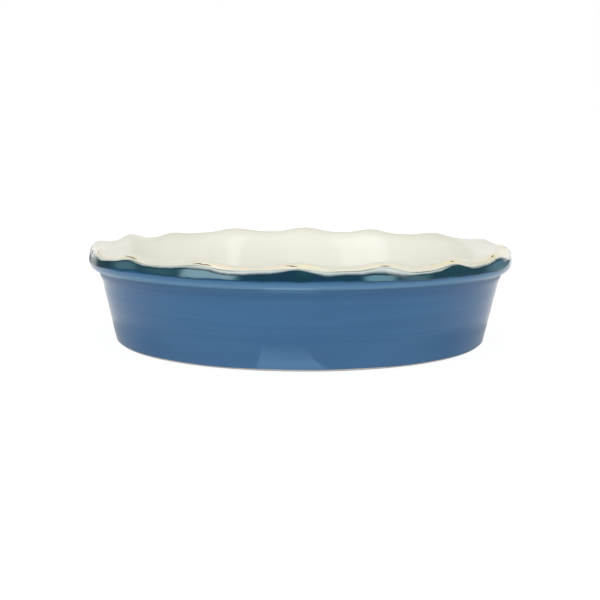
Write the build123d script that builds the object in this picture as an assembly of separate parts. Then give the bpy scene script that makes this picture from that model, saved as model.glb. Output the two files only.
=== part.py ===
from build123d import *
import os
from math import atan2, cos, pi, radians, sin, sqrt

os.makedirs("parts", exist_ok=True)

# A ruffled pie dish of glazed stoneware, in millimetres. It stands on z = 0
# with its axis on Z, and one ruffle points to the front, along -Y.

# Overall sizes, over the glaze
rim_d = 285.0           # across the rolled lip at its widest
dish_h = 65.0           # from the table to the top of a ruffle
glaze_t = 0.5           # one brushed coat

# Cup
foot_d = 248.0          # across the outer wall, carried down to the table
wall_t = 7.0
floor_t = 5.5
corner_r = 11.0         # inside, between floor and wall
foot_edge_r = 3.5       # outside, between foot and wall
foot_ring_w = 8.0       # the bare ring that stands on the table
recess_h = 1.5          # the underside stands this much clear of the table
recess_run = 2.0        # width of the slope from foot ring to underside

# Rolled lip
lip_overhang = 5.5      # the lip stands this far out of the wall
lip_crown = 7.3         # from the lip's widest line up to its low stretches
bead_r = 5.8            # the lip's rounded underside
neck_r = 7.0            # the hollow between wall and lip
roll_drop = 14.3        # the roll runs out into the inner wall this far down

# Ruffles
ruffles = 16
ruffle_rise = 2.4       # a ruffle stands this much above the low stretches
ruffle_flare = 1.0      # and its ridge lies this much further out
ruffle_sharpness = 1.5  # above 1 the ruffles are narrower than the hollows

# Borders of the coats, in degrees round the foot's edge and round the lip
blue_starts = 40.0      # from straight down; the clay below it is bare
teal_ends = 44.0        # from the lip's widest line; cream shows above it

# Rings to a stretch, and points to a ruffle on each ring
ring_points = 8
foot_edge_steps = 2
wall_steps = 2
neck_steps = 2
bead_steps = 2
teal_steps = 2
crown_steps = 2
roll_steps = 4
corner_steps = 3

# Places that follow from these sizes, on the body
foot_r = foot_d / 2
rim_r = rim_d / 2 - glaze_t
crown_z = dish_h - ruffle_rise
widest_z = crown_z - lip_crown
roll_end_z = crown_z - roll_drop
floor_z = recess_h + floor_t
ridge_r = rim_r - bead_r
lean = atan2(rim_r - lip_overhang - foot_r, widest_z)
down = -pi / 2


def wall_r(out, z):
    """Radius, at height z, of a face that lies this far out of the outer wall."""
    return foot_r + (out + z * sin(lean)) / cos(lean)


def spread(start, end, steps):
    """Evenly spaced values from start to end, both included."""
    return [start + (end - start) * step / steps for step in range(steps + 1)]


def arc(centre_r, centre_z, radius, turns):
    """Ring places along an arc, one for each turn in radians."""
    return [(centre_r + radius * cos(t), centre_z + radius * sin(t)) for t in turns]


def edge_arc(out, z, radius, turns):
    """Places on the arc between a level face at z and the wall face at out."""
    centre_z = z + radius
    return arc(wall_r(out - radius, centre_z), centre_z, radius, turns)


def outside(coat, foot_turns):
    """Places up the outside, from the foot's edge to the lip's widest line.

    The places lie on the body when coat is 0, or this far out of it. The
    hollow under the lip is an arc that touches both the wall and the bead.
    """
    bead_out = (ridge_r - foot_r) * cos(lean) - widest_z * sin(lean)
    bead_up = (ridge_r - foot_r) * sin(lean) + widest_z * cos(lean)
    neck_up = bead_up - sqrt((bead_r + neck_r) ** 2 - (neck_r - bead_out) ** 2)
    neck_z = neck_up * cos(lean) - neck_r * sin(lean)
    neck_c = wall_r(neck_r, neck_z)
    meeting = atan2(widest_z - neck_z, ridge_r - neck_c)

    foot = edge_arc(coat, -coat, foot_edge_r + coat, foot_turns)
    neck = arc(neck_c, neck_z, neck_r - coat, spread(pi - lean, meeting, neck_steps))
    bead = arc(ridge_r, widest_z, bead_r + coat, spread(meeting - pi, 0, bead_steps))
    heights = spread(foot[-1][1], neck[0][1], wall_steps)
    wall = [(wall_r(coat, z), z) for z in heights[1:-1]]
    return foot + wall + neck + bead[1:]


def crown(coat, turns):
    """Places over the outer half of the lip, lifted and spread at each ruffle."""
    places = []
    for t in turns:
        r = ridge_r + (bead_r + coat) * cos(t)
        z = widest_z + (lip_crown + coat) * sin(t)
        places.append((r, z, ruffle_flare * (1 - cos(t)), ruffle_rise * sin(t)))
    return places


def roll(turns):
    """Places from the lip's ridge down to where it runs out into the inner wall.

    The curve is a quarter ellipse leaned to the wall: it leaves the ridge
    level and ends along the wall. Its lift fades to nothing on the way.
    """
    places = []
    for t in turns:
        ridge_share = 1 - sin(t)
        end_share = 1 - cos(t)
        corner_share = 1 - ridge_share - end_share
        r = ridge_r * ridge_share + wall_r(-wall_t, crown_z) * corner_share
        r += wall_r(-wall_t, roll_end_z) * end_share
        z = crown_z * cos(t) + roll_end_z * end_share
        corner_lift = ruffle_rise * sin(lean) / cos(lean) * corner_share
        places.append((r, z, ruffle_flare * ridge_share + corner_lift, ruffle_rise * cos(t)))
    return places


def inside():
    """Places down the inner wall and round its corner to the floor."""
    turns = spread(-lean, down, corner_steps)
    corner = edge_arc(-wall_t, floor_z, corner_r, turns)
    heights = spread(roll_end_z, corner[0][1], wall_steps)
    wall = [(wall_r(-wall_t, z), z) for z in heights[1:-1]]
    return wall + corner


def ring(r, z, flare=0, rise=0):
    """A closed smooth line round the dish that flares and rises at each ruffle."""
    count = ruffles * ring_points
    points = []
    for step in range(count):
        turn = 2 * pi * step / count
        lift = ((1 + cos(ruffles * turn)) / 2) ** ruffle_sharpness
        reach = r + flare * lift
        points.append((reach * sin(turn), -reach * cos(turn), z + rise * lift))
    knots = [float(step) for step in range(count + 1)]
    return Wire([Edge.make_spline(points, periodic=True, parameters=knots)])


def skin(places):
    """Faces through a ring at each place, in order."""
    return Shell.make_loft([ring(*place) for place in places], ruled=True).faces()


def closed(*groups):
    """A solid bounded by groups of faces that meet edge to edge."""
    return Solid(Shell([face for group in groups for face in group]))


def coat_over(body_places, coat_places):
    """A coat between the body's face and its own, closed along both borders."""
    lower = skin([body_places[0], coat_places[0]])
    upper = skin([body_places[-1], coat_places[-1]])
    return closed(skin(body_places), skin(coat_places), lower, upper)


foot_turns = spread(down + radians(blue_starts), -lean, foot_edge_steps)
teal_turns = spread(0, radians(teal_ends), teal_steps)
crown_turns = spread(radians(teal_ends), pi / 2, crown_steps)
roll_turns = spread(0, pi / 2, roll_steps)


def dish_body():
    """The fired body: foot ring, floor, leaning wall and ruffled rolled lip."""
    outer = outside(0, [down] + foot_turns)
    lip = crown(0, teal_turns)[1:] + crown(0, crown_turns)[1:] + roll(roll_turns)[1:]
    inner = inside()
    stand = outer[0]
    ring_inner = (stand[0] - foot_ring_w, stand[1])
    under = (ring_inner[0] - recess_run, recess_h)
    foot = Face(ring(*stand), [ring(*ring_inner)])
    underside = Face(ring(*under))
    floor = Face(ring(*inner[-1]))
    return closed(skin(outer + lip + inner), skin([ring_inner, under]), [foot, underside, floor])


def blue_outside_glaze():
    """The blue coat, from the bare foot up to the lip's widest line."""
    return coat_over(outside(0, foot_turns), outside(glaze_t, foot_turns))


def teal_rim_glaze():
    """The dark teal band on the outer half of the lip, with a ruffled top border."""
    return coat_over(crown(0, teal_turns), crown(glaze_t, teal_turns))


for make in (dish_body, blue_outside_glaze, teal_rim_glaze):
    export_step(make(), f"parts/{make.__name__}.step")
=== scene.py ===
"""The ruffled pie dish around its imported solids: fired body, blue coat, teal rim.

One form underlies every piece: a profile that runs from the underside's centre,
round the foot, up the wall, over the rolled lip and down to the floor inside, and
is carried once round the axis. The two coats and the brown strokes lie on it.
Sizes are in metres, turns on the lip are in degrees, and the front is along -Y.
"""

from __future__ import annotations

import logging
import math
from collections.abc import Callable
from dataclasses import dataclass, field, fields, replace
from enum import Enum

import bpy
import numpy as np
from mathutils import Matrix, Vector


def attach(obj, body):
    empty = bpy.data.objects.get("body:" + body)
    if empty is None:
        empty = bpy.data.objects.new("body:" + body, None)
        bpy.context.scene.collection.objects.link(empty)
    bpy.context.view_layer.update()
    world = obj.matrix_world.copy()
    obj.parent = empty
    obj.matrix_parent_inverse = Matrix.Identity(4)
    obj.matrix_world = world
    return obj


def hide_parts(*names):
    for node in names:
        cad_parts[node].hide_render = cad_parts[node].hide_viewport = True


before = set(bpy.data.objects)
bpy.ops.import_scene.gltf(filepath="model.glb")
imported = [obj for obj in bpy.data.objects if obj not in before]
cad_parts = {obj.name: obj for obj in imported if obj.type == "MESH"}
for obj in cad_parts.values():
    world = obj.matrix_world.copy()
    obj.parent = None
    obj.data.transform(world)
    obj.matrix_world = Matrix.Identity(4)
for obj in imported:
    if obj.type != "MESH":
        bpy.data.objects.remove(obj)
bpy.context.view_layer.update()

log = logging.getLogger("pie_dish")

MM = 0.001
RUFFLES = 16
COLUMNS = RUFFLES * 32                  # points on each ring round the dish
AROUND = np.arange(COLUMNS)[None, :] * (RUFFLES / COLUMNS)    # the ruffle count at each
OFF_LIP, RIDGE, ROLL_END = -180.0, 90.0, 180.0    # turns round the lip from its widest line
MM_A_DEGREE = 0.12                      # how far one degree is on the lip
SHARP_FROM = math.radians(55)           # edges that turn by more stay sharp
GLAZE_IOR = 1.52

Tint = tuple[float, float, float, float]
Span = tuple[float, float]                        # where a mask starts and where it is full
Noise = tuple[float, ...]                         # blotches a metre, detail, roughness, bend
Waves = tuple[tuple[float, float, float], ...]    # each wave's share, lobes and phase
Grid = "np.ndarray | float"
Wire = "bpy.types.NodeSocket | float | Tint"
BLACK: Tint = (0.0, 0.0, 0.0, 1.0)
WHITE: Tint = (1.0, 1.0, 1.0, 1.0)


class Slot(Enum):
    """The names of the record's material slots for the pieces."""

    CREAM = "cream_glazed_body"
    BLUE = "blue_glaze"
    TEAL = "teal_glaze"


class Mark(Enum):
    """What a mesh says at each of its points, for its finish to read."""

    DARK_RISE = "dark_rise"    # degrees round the lip from the dark rim's lower border
    CREAM_GAP = "cream_gap"    # millimetres below the cream border
    BARE = "bare"              # 1 on unglazed clay
    HONEY = "honey"            # how strongly honey glaze touches the lip
    PEACH = "peach"            # how strongly the cream turns to peach there
    NAVY = "navy"              # how far the rim's dark glaze turns to navy
    WORN = "worn"              # how far that glaze is brushed thin, or rubbed off if below 0; partly a painted highlight
    BAND = "band"              # width of the thin glaze below the border, millimetres
    POOL = "pool"              # 1 where the blue glaze pools, with painted shade; -1 where it runs thin, with painted light
    DULL = "dull"              # how far the glaze's gloss is lost under the lip


class Closing(Enum):
    """How a run of rings closes: by a point at each end, or last ring to first."""

    POLES = "poles"
    LOOP = "loop"


class Kind(Enum):
    """The kinds of value that go into and come out of a shared effect."""

    VALUE = "NodeSocketFloat"
    COLOUR = "NodeSocketColor"
    VECTOR = "NodeSocketVector"


def tint(code: str) -> Tint:
    """A colour as Blender takes it, worked out by the sRGB curve.

    Args:
        code: The six digits of its red, green and blue.

    Returns:
        The linear colour, with full opacity.
    """
    parts = np.array([int(code[i:i + 2], 16) for i in (0, 2, 4)]) / 255
    linear = np.where(parts <= 0.04045, parts / 12.92, ((parts + 0.055) / 1.055) ** 2.4)
    return (*linear.tolist(), 1.0)


def down_rows(start: float, end: float, count: int) -> np.ndarray:
    """A column of evenly spaced values from start to end, both included."""
    return np.linspace(start, end, count)[:, None]


def ease(share: Grid) -> np.ndarray:
    """Smooth rise from 0 to 1: three squares less two cubes of the clipped share."""
    clipped = np.clip(share, 0.0, 1.0)
    return clipped * clipped * (3 - 2 * clipped)


def lobes(waves: Waves, turn: np.ndarray, curve: Callable[[np.ndarray], np.ndarray]) -> np.ndarray:
    """The sum of the waves: each one's share of the curve at lobes times turn plus phase."""
    return sum(share * curve(count * turn + phase) for share, count, phase in waves)


@dataclass(frozen=True)
class DishSizes:
    """The dish's driving sizes, as in its part source, in metres and degrees."""

    rim_d: float = 0.285
    dish_h: float = 0.065
    glaze_t: float = 0.0005
    foot_d: float = 0.248
    wall_t: float = 0.007
    floor_t: float = 0.0055
    corner_r: float = 0.011
    foot_edge_r: float = 0.0035
    foot_ring_w: float = 0.008
    recess_h: float = 0.0015
    recess_run: float = 0.002
    lip_overhang: float = 0.0055
    lip_crown: float = 0.0073
    bead_r: float = 0.0058
    neck_r: float = 0.007
    roll_drop: float = 0.0143
    ruffle_rise: float = 0.0024
    ruffle_flare: float = 0.001
    ruffle_sharpness: float = 1.5
    blue_starts: float = 40.0


@dataclass(frozen=True)
class Patch:
    """A soft patch on the lip: its middle, half sizes and strength.

    Its place along the lip is in ruffles and its place round it in degrees. A higher
    edge makes it flatter within and steeper at its border.
    """

    along: float
    degrees: float
    half_along: float
    half_degrees: float
    strength: float
    edge: float = 2.0

    def mask(self, u: np.ndarray, degrees: np.ndarray) -> np.ndarray:
        """The strength times a bell of the distance from the middle, in half sizes.

        Args:
            u: Ruffle counts.
            degrees: Degrees round the lip.

        Returns:
            The mask at each place.
        """
        off = (u - self.along + RUFFLES / 2) % RUFFLES - RUFFLES / 2
        away = np.abs(off / self.half_along) ** self.edge
        away = away + np.abs((degrees - self.degrees) / self.half_degrees) ** self.edge
        return self.strength * np.exp(-away)


@dataclass(frozen=True)
class HandWork:
    """What the maker's hand did to each ruffle, from the front one round by the right.

    Turns are in degrees off even spacing. Heights are in metres over the lip's low
    line, borders and the dark rim's starts in degrees round the lip, and bands are
    widths of thin glaze in metres. These have a value for each ruffle's top and one
    for the hollow before it. Reach and hoist carry a top out and up, in metres.
    """

    turns_off: tuple[float, ...] = (
        1.0, -1.0, -2.8, -3.0, 0.0, -4.5, -1.85, -0.3,
        -0.25, 1.9, 1.8, -0.8, -0.5, 0.6, 0.2, 0.2,
    )
    height_tops: tuple[float, ...] = (
        0.0024, 0.0024, 0.0024, 0.0023, 0.0018, 0.0025, 0.0029, 0.0025,
        0.0027, 0.0025, 0.0012, 0.0030, 0.0026, 0.0023, 0.0026, 0.0028,
    )
    height_hollows: tuple[float, ...] = (
        0.0002, 0.0002, 0.0, 0.0002, 0.00035, 0.0013, 0.00085, 0.00007,
        -0.00034, -0.00012, 0.00003, -0.00093, 0.00059, 0.00037, 0.0002, 0.0002,
    )
    border_tops: tuple[float, ...] = (
        44.5, 46.5, 44.0, 47.5, 46.0, 45.0, 47.0, 46.0,
        48.0, 44.0, 46.0, 45.0, 44.0, 41.0, 48.0, 47.5,
    )
    border_hollows: tuple[float, ...] = (
        47.0, 44.0, 32.0, 36.5, 34.0, 40.0, 43.0, 41.0,
        38.0, 42.0, 44.0, 40.0, 38.0, 36.0, 41.5, 49.0,
    )
    border_sag: float = 3.5
    sag_skew: float = 0.6
    start_tops: tuple[float, ...] = (
        -5.0, -11.0, -10.0, -12.0, -14.0, -6.0, -8.0, -11.0,
        -9.0, -12.0, -8.0, -5.0, -14.0, -10.0, 2.0, -2.0,
    )
    start_hollows: tuple[float, ...] = (
        -4.0, -5.0, -13.0, -8.0, -14.0, -10.0, -8.0, -10.0,
        -8.0, -11.0, -9.0, -8.0, -10.0, -12.0, -2.0, 1.0,
    )
    band_tops: tuple[float, ...] = (
        0.0015, 0.0036, 0.0009, 0.0010, 0.0012, 0.0020, 0.0014, 0.0022,
        0.0015, 0.0018, 0.0013, 0.0021, 0.0010, 0.0008, 0.0012, 0.0021,
    )
    band_hollows: tuple[float, ...] = (
        0.0032, 0.0029, 0.0022, 0.0015, 0.0016, 0.0026, 0.0020, 0.0024,
        0.0018, 0.0023, 0.0027, 0.0019, 0.0016, 0.0009, 0.0012, 0.0020,
    )
    reach_tops: tuple[float, ...] = (
        0.0, 0.0, 0.0, 0.0, 0.0006, 0.0, 0.0003, 0.0,
        -0.0003, 0.0, 0.0, 0.0002, 0.0019, 0.0, 0.0, 0.0,
    )
    hoist_tops: tuple[float, ...] = (
        0.0, 0.0, 0.0, 0.0, 0.0015, 0.0, 0.0004, 0.0,
        0.0003, 0.0, 0.0005, 0.0, 0.0020, 0.0, 0.0, 0.0,
    )
    lift_run: float = 60.0
    honey: tuple[Patch, ...] = (
        Patch(0.58, 58.0, 0.26, 10.0, 0.75),
        Patch(1.50, 56.0, 0.20, 8.0, 0.45),
        Patch(2.38, 58.0, 0.20, 10.0, 0.90),
        Patch(3.20, 64.0, 0.22, 12.0, 0.90),
        Patch(3.95, 100.0, 0.60, 55.0, 0.85, edge=3.0),
        Patch(5.40, 60.0, 0.30, 10.0, 0.50),
        Patch(6.60, 66.0, 0.30, 12.0, 0.45),
        Patch(7.40, 58.0, 0.35, 9.0, 0.65),
        Patch(8.55, 62.0, 0.25, 10.0, 0.40),
        Patch(9.40, 58.0, 0.30, 12.0, 0.70),
        Patch(10.50, 64.0, 0.25, 9.0, 0.45),
        Patch(11.60, 60.0, 0.35, 12.0, 0.55),
        Patch(12.50, 66.0, 0.25, 12.0, 0.50),
        Patch(13.05, 85.0, 0.30, 30.0, 0.70),
        Patch(14.40, 62.0, 0.25, 8.0, 0.40),
        Patch(15.62, 54.0, 0.16, 7.0, 0.35),
    )
    peach: tuple[Patch, ...] = (
        Patch(0.12, 58.0, 0.28, 10.0, 0.60),
        Patch(1.20, 55.0, 0.30, 8.0, 0.30),
        Patch(2.08, 54.0, 0.18, 10.0, 0.85),
        Patch(3.05, 58.0, 0.20, 12.0, 0.50),
        Patch(5.90, 60.0, 0.30, 10.0, 0.45),
        Patch(7.90, 62.0, 0.30, 12.0, 0.50),
        Patch(10.00, 58.0, 0.25, 9.0, 0.45),
        Patch(11.10, 64.0, 0.30, 10.0, 0.50),
        Patch(13.60, 60.0, 0.30, 12.0, 0.30),
        Patch(15.80, 56.0, 0.15, 7.0, 0.45),
    )
    # Partly glaze brushed thin, and rubbed off where below 0, partly painted highlight. The strong
    # patches on the front tops, at 1.43 and 15.585, and those at the ends, at 3.80 and 13.13, stand in
    # part for the lamps' reflection on the dark rim.
    worn: tuple[Patch, ...] = (
        Patch(15.00, 12.0, 0.26, 28.0, 0.16, edge=4.0),
        Patch(15.585, 14.0, 0.30, 30.0, 0.86, edge=8.0),
        Patch(1.43, 14.0, 0.19, 30.0, 0.86, edge=6.0),
        Patch(1.87, 6.0, 0.19, 24.0, 0.34, edge=4.0),
        Patch(2.75, 25.0, 0.65, 40.0, 0.04, edge=4.0),
        Patch(3.80, 5.0, 0.68, 30.0, 0.68, edge=6.0),
        Patch(6.90, 12.0, 0.30, 28.0, 0.70, edge=4.0),
        Patch(9.20, 12.0, 0.22, 30.0, 0.80, edge=4.0),
        Patch(11.70, 12.0, 0.30, 28.0, 0.70, edge=4.0),
        Patch(13.13, 5.0, 0.52, 60.0, -0.68, edge=8.0),
        Patch(14.42, 15.0, 0.24, 28.0, 0.45, edge=3.0),
    )
    navy: tuple[float, ...] = (
        0.85, 0.35, 0.1, 0.6, 0.5, 0.3, 0.6, 0.2,
        0.5, 0.4, 0.2, 0.6, 0.3, 0.2, 0.1, 0.25,
    )
    level_sway: float = 0.00025
    level_waves: Waves = ((1.0, 2.0, 1.2), (0.5, 5.0, 0.0))
    round_sway: float = 0.0003
    round_waves: Waves = ((1.0, 2.0, -0.6), (0.6, 3.0, 1.9))
    throwing_wave: float = 0.00006
    throwing_pitches: Span = (0.021, 0.0127)


@dataclass(frozen=True)
class Rings:
    """Places down the rows of a surface, before they are carried round the axis.

    Each array has one row for a ring and one column, or one for each ring point.
    """

    r: np.ndarray
    z: np.ndarray
    flare: np.ndarray
    rise: np.ndarray
    turn: np.ndarray
    bare: np.ndarray

    @staticmethod
    def laid(
        r: Grid, z: Grid, flare: Grid = 0.0, rise: Grid = 0.0, turn: Grid = OFF_LIP, bare: Grid = 0.0
    ) -> Rings:
        """Rings with every array spread to the same rows and columns.

        Args:
            r: Distance from the axis in a hollow.
            z: Height in a hollow.
            flare: How far a full ruffle carries the place outwards.
            rise: How far a full ruffle carries it up.
            turn: Degrees round the lip from its widest line.
            bare: 1 where the clay is left unglazed.

        Returns:
            The rings.
        """
        return Rings(*(a.copy() for a in np.broadcast_arrays(r, z, flare, rise, turn, bare)))

    @staticmethod
    def arc(
        r: Grid, z: Grid, reach: Grid, ways: np.ndarray, turn: Grid = OFF_LIP, bare: Grid = 0.0
    ) -> Rings:
        """Rings along an arc: reach away from its centre at r and z, each way in radians."""
        return Rings.laid(r + reach * np.cos(ways), z + reach * np.sin(ways), turn=turn, bare=bare)

    def each(self, change: Callable[[np.ndarray], np.ndarray]) -> Rings:
        """The rings with the same change made to every array."""
        return Rings(*(change(getattr(self, part.name)) for part in fields(self)))

    def wide(self) -> Rings:
        """The same rings with one column for each ring point."""
        return self.each(lambda a: np.broadcast_to(a, (len(a), COLUMNS)))

    def after_first(self) -> Rings:
        """All rings but the first, which the run before them ends with."""
        return self.each(lambda a: a[1:])

    def turned_over(self) -> Rings:
        """The rings in the opposite order."""
        return self.each(lambda a: a[::-1])


def joined(*runs: Rings) -> Rings:
    """Joins several runs of rings, in order.

    Args:
        runs: The runs.

    Returns:
        The one run that they make.
    """
    wide = [run.wide() for run in runs]
    names = (part.name for part in fields(Rings))
    return Rings(*(np.concatenate([getattr(run, name) for run in wide]) for name in names))


@dataclass(frozen=True)
class DishForm:
    """The dish's one surface, from which every piece's mesh is taken."""

    sizes: DishSizes = field(default_factory=DishSizes)
    hand: HandWork = field(default_factory=HandWork)

    @property
    def foot_r(self) -> float:
        """Radius of the outer wall carried down to the table."""
        return self.sizes.foot_d / 2

    @property
    def rim_r(self) -> float:
        """Radius of the body at the lip's widest line."""
        return self.sizes.rim_d / 2 - self.sizes.glaze_t

    @property
    def crown_z(self) -> float:
        """Height of the lip's low stretches."""
        return self.sizes.dish_h - self.sizes.ruffle_rise

    @property
    def widest_z(self) -> float:
        """Height of the lip's widest line."""
        return self.crown_z - self.sizes.lip_crown

    @property
    def ridge_r(self) -> float:
        """Radius of the lip's ridge in a hollow."""
        return self.rim_r - self.sizes.bead_r

    @property
    def floor_z(self) -> float:
        """Height of the floor inside."""
        return self.sizes.recess_h + self.sizes.floor_t

    @property
    def lean(self) -> float:
        """How far the wall leans out from upright, in radians."""
        return math.atan2(self.rim_r - self.sizes.lip_overhang - self.foot_r, self.widest_z)

    def wall_r(self, out: Grid, z: Grid) -> Grid:
        """Radius, at height z, of a face that lies this far out of the outer wall."""
        return self.foot_r + (out + z * math.sin(self.lean)) / math.cos(self.lean)

    def ruffle_values(self, values: tuple[float, ...], u: np.ndarray) -> np.ndarray:
        """The smooth closed curve through one value for each ruffle.

        It is the sum of the values' own Fourier waves, each taken at u less half a
        ruffle, because ruffle k has its top at k and a half.

        Args:
            values: The values at the ruffles' tops.
            u: Ruffle counts.

        Returns:
            The curve at each count.
        """
        waves = np.fft.rfft(np.array(values)) / len(values)
        orders = np.arange(len(waves))
        weights = np.where((orders == 0) | (orders == len(values) // 2), 1.0, 2.0)
        phase = 2j * np.pi * orders * (np.asarray(u)[..., None] - 0.5) / len(values)
        return (weights * waves * np.exp(phase)).real.sum(-1)

    def around(self, u: np.ndarray) -> np.ndarray:
        """The turn round the axis, in radians from the front, at ruffle count u."""
        pitch = 2 * np.pi / RUFFLES
        return pitch * (u - 0.5) + np.radians(self.ruffle_values(self.hand.turns_off, u))

    def crest(self, u: np.ndarray) -> np.ndarray:
        """1 on a ruffle's top and 0 in a hollow: a raised cosine to the sharpness."""
        swing = (1 + np.cos(2 * np.pi * (u - 0.5))) / 2
        return swing ** self.sizes.ruffle_sharpness

    def swell(self, tops: tuple[float, ...], hollows: tuple[float, ...], u: np.ndarray) -> np.ndarray:
        """The curve through each ruffle's own value and, half a ruffle before, its hollow's."""
        low = self.ruffle_values(hollows, np.asarray(u) + 0.5)
        return low + (self.ruffle_values(tops, u) - low) * self.crest(u)

    def lift(self, u: np.ndarray) -> np.ndarray:
        """How high the lip stands over its low line, as a share of the usual rise."""
        heights = self.swell(self.hand.height_tops, self.hand.height_hollows, u)
        return heights / self.sizes.ruffle_rise

    def cream_border(self, u: np.ndarray) -> np.ndarray:
        """Where the dark rim gives way to cream.

        It is the swell of the borders less the sag, a sine over each ruffle plus a
        share of its square: it sags after the top, where the brush left the lip.

        Args:
            u: Ruffle counts.

        Returns:
            Degrees round the lip at each count.
        """
        hand, swing = self.hand, np.sin(2 * np.pi * (u - 0.5))
        sag = hand.border_sag * (swing + hand.sag_skew * swing ** 2)
        return self.swell(hand.border_tops, hand.border_hollows, u) - sag

    def thin_band(self, u: np.ndarray) -> np.ndarray:
        """Width of the thin glaze below the cream border, in metres."""
        return self.swell(self.hand.band_tops, self.hand.band_hollows, u)

    def dark_start(self, u: np.ndarray) -> np.ndarray:
        """Degrees round the lip at which the blue wall gives way to the dark rim."""
        return self.swell(self.hand.start_tops, self.hand.start_hollows, u)

    def carried(
        self, tops: tuple[float, ...], u: np.ndarray, turn: np.ndarray, fall: Grid
    ) -> np.ndarray:
        """How far single tops are carried off.

        It is the tops' own curve times the crest. It rises over the run up to the
        lip's widest line, and goes again with the fall.

        Args:
            tops: How far each ruffle's top is carried, in metres.
            u: Ruffle counts.
            turn: Degrees round the lip from its widest line.
            fall: How far it has gone again, from 0 to 1.

        Returns:
            Metres at each place.
        """
        share = ease((turn + self.hand.lift_run) / self.hand.lift_run) * (1 - ease(fall))
        return self.ruffle_values(tops, u) * self.crest(u) * share

    def points(self, rings: Rings, u: np.ndarray) -> np.ndarray:
        """Carries rings round the axis.

        A place at radius r and height z goes to (r sin a, -r cos a, z), where a is the
        turn at u, r has grown by the flare and z by the rise times the ruffle's lift.
        Single tops lean out in full from the widest line to the ridge, and are hoisted
        in full on the widest line only. The thrower's slow sways and the rings that a
        hand leaves in the wall are added, and fade towards the foot and the axis.

        Args:
            rings: The rings, in metres.
            u: Ruffle count for each column, or for each place.

        Returns:
            Points, with x, y and z last.
        """
        hand, turn, lift = self.hand, self.around(u), self.lift(u)
        past_ridge, past_widest = (rings.turn - RIDGE) / RIDGE, rings.turn / RIDGE
        reach = self.carried(hand.reach_tops, u, rings.turn, past_ridge)
        hoist = self.carried(hand.hoist_tops, u, rings.turn, past_widest)
        r = rings.r + rings.flare * lift + reach
        z = rings.z + rings.rise * lift + hoist
        up = np.clip(z / self.sizes.dish_h, 0, 1)
        out = np.clip(r / self.foot_r, 0, 1)
        oval = lobes(hand.round_waves, turn, np.cos)
        broad, fine = (2 * np.pi * z / pitch for pitch in hand.throwing_pitches)
        bands = np.sin(broad + 2 * np.sin(turn + 0.4)) + 0.7 * np.sin(fine - turn * 3)
        r = r + out ** 4 * (hand.round_sway * up * oval + hand.throwing_wave * bands)
        z = z + hand.level_sway * up ** 3 * lobes(hand.level_waves, turn, np.sin)
        return np.stack([r * np.sin(turn), -r * np.cos(turn), z], -1)

    def foot_edge(self, ways: np.ndarray, coat: Grid = 0.0, bare: Grid = 0.0) -> Rings:
        """Rings round the edge between the foot and the outer wall."""
        radius = self.sizes.foot_edge_r
        return Rings.arc(self.wall_r(-radius, radius), radius, radius + coat, ways, bare=bare)

    def wall(self, heights: np.ndarray, coat: Grid = 0.0) -> Rings:
        """Rings up the leaning outer wall."""
        return Rings.laid(self.wall_r(coat, heights), heights)

    def neck_centre(self) -> tuple[float, float, float]:
        """The centre of the hollow under the lip, an arc that touches wall and bead.

        It lies the hollow's radius out of the wall, and as far from the bead's centre
        as both radii together.

        Returns:
            Its radius and height, and the way from it to where hollow and bead meet.
        """
        s, sin, cos = self.sizes, math.sin(self.lean), math.cos(self.lean)
        bead_out = (self.ridge_r - self.foot_r) * cos - self.widest_z * sin
        bead_up = (self.ridge_r - self.foot_r) * sin + self.widest_z * cos
        reach = s.bead_r + s.neck_r
        neck_up = bead_up - math.sqrt(reach ** 2 - (s.neck_r - bead_out) ** 2)
        z = neck_up * cos - s.neck_r * sin
        r = float(self.wall_r(s.neck_r, z))
        return r, z, math.atan2(self.widest_z - z, self.ridge_r - r)

    def neck(self, count: int, coat: Grid = 0.0) -> Rings:
        """Rings through the hollow between wall and lip.

        Args:
            count: How many rings.
            coat: How far out of the body they lie, in metres.

        Returns:
            The rings.
        """
        r, z, meeting = self.neck_centre()
        ways = down_rows(math.pi - self.lean, meeting, count)
        return Rings.arc(r, z, self.sizes.neck_r - coat, ways)

    def wall_top(self, coat: float = 0.0) -> float:
        """Height at which the wall gives way to the hollow under the lip."""
        z = self.neck_centre()[1]
        return float(z + (self.sizes.neck_r - coat) * np.sin(math.pi - self.lean))

    def bead(self, count: int, coat: Grid = 0.0) -> Rings:
        """Rings round the lip's underside, up to its widest line.

        Args:
            count: How many rings.
            coat: How far out of the body they lie, in metres.

        Returns:
            The rings.
        """
        ways = down_rows(self.neck_centre()[2] - math.pi, 0.0, count)
        reach = self.sizes.bead_r + coat
        return Rings.arc(self.ridge_r, self.widest_z, reach, ways, turn=np.degrees(ways))

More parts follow.
